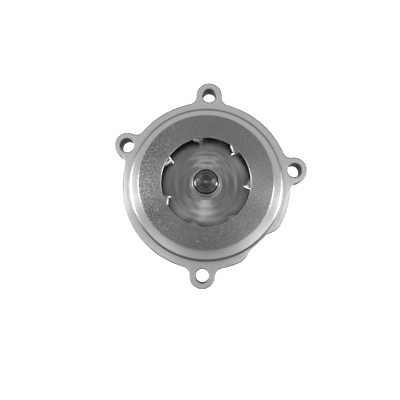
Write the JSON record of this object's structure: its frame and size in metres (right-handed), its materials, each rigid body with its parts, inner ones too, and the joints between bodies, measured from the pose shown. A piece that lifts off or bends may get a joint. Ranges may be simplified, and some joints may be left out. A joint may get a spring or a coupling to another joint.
{
  "type": "engine water pump",
  "caption": "Engine coolant pump: flanged aluminium housing with lugs and a pilot, closed bladed impeller, sealed shaft bearing, coolant seal and pulley hub.",
  "frame": {"origin": "on the shaft's axis, in the plane of the flange's mounting face", "axes": "+Z along the shaft towards the impeller, +Y towards the top lug, +X to the right when looking at the impeller"},
  "size_m": [0.1327, 0.1421, 0.1066],
  "materials": {
    "cast_aluminium": "cast, with turned faces",
    "rubber": "matt moulded",
    "bearing_steel": "ground and polished",
    "spring_steel": "drawn wire, oiled",
    "brass_sheet": "pressed sheet",
    "carbon": "lapped carbon graphite",
    "ceramic": "lapped",
    "ground_steel": "ground, with a turned end",
    "turned_steel": "turned, concentric tool marks",
    "shroud_steel": "satin sheet with fine speckle",
    "blade_steel": "pressed sheet",
    "hub_steel": "machined forging, oiled",
    "cage_nylon": "moulded, glass filled"
  },
  "bodies": {
    "casing": {"housing": "cast_aluminium", "pilot_o_ring": "rubber", "bearing_outer_race": "bearing_steel", "bearing_retaining_ring": "spring_steel", "bearing_seal_rear": "rubber", "bearing_seal_front": "rubber", "seal_case": "brass_sheet", "seal_bellows": "rubber", "seal_spring": "spring_steel", "seal_drive_band": "brass_sheet", "seal_carbon_ring": "carbon"},
    "rotor": {"pump_shaft": "ground_steel", "impeller_hub": "turned_steel", "impeller_disc": "turned_steel", "impeller_shroud": "shroud_steel", "impeller_blade_1": "blade_steel", "impeller_blade_2": "blade_steel", "impeller_blade_3": "blade_steel", "impeller_blade_4": "blade_steel", "impeller_blade_5": "blade_steel", "impeller_blade_6": "blade_steel", "impeller_blade_7": "blade_steel", "seal_seat": "ceramic", "seal_seat_boot": "rubber", "slinger": "rubber", "pulley_hub": "hub_steel"},
    "ball_set": {"ball_cage": "cage_nylon", "bearing_ball_1": "bearing_steel", "bearing_ball_2": "bearing_steel", "bearing_ball_3": "bearing_steel", "bearing_ball_4": "bearing_steel", "bearing_ball_5": "bearing_steel", "bearing_ball_6": "bearing_steel", "bearing_ball_7": "bearing_steel", "bearing_ball_8": "bearing_steel"},
    "roller_set": {"roller_cage": "cage_nylon", "bearing_roller_1": "bearing_steel", "bearing_roller_2": "bearing_steel", "bearing_roller_3": "bearing_steel", "bearing_roller_4": "bearing_steel", "bearing_roller_5": "bearing_steel", "bearing_roller_6": "bearing_steel", "bearing_roller_7": "bearing_steel", "bearing_roller_8": "bearing_steel", "bearing_roller_9": "bearing_steel", "bearing_roller_10": "bearing_steel"}
  },
  "joints": [
    {"name": "rotor_spin", "type": "hinge", "parent": "casing", "child": "rotor", "pos_m": [0, 0, 0], "axis": [0, 0, 1], "continuous": true},
    {"name": "ball_set_spin", "type": "hinge", "parent": "casing", "child": "ball_set", "pos_m": [0, 0, -0.033], "axis": [0, 0, 1], "continuous": true},
    {"name": "roller_set_spin", "type": "hinge", "parent": "casing", "child": "roller_set", "pos_m": [0, 0, -0.0505], "axis": [0, 0, 1], "continuous": true}
  ],
  "couplings": [
    {"joint": "ball_set_spin", "follows": "rotor_spin", "ratio": 0.3502},
    {"joint": "roller_set_spin", "follows": "rotor_spin", "ratio": 0.3808}
  ]
}
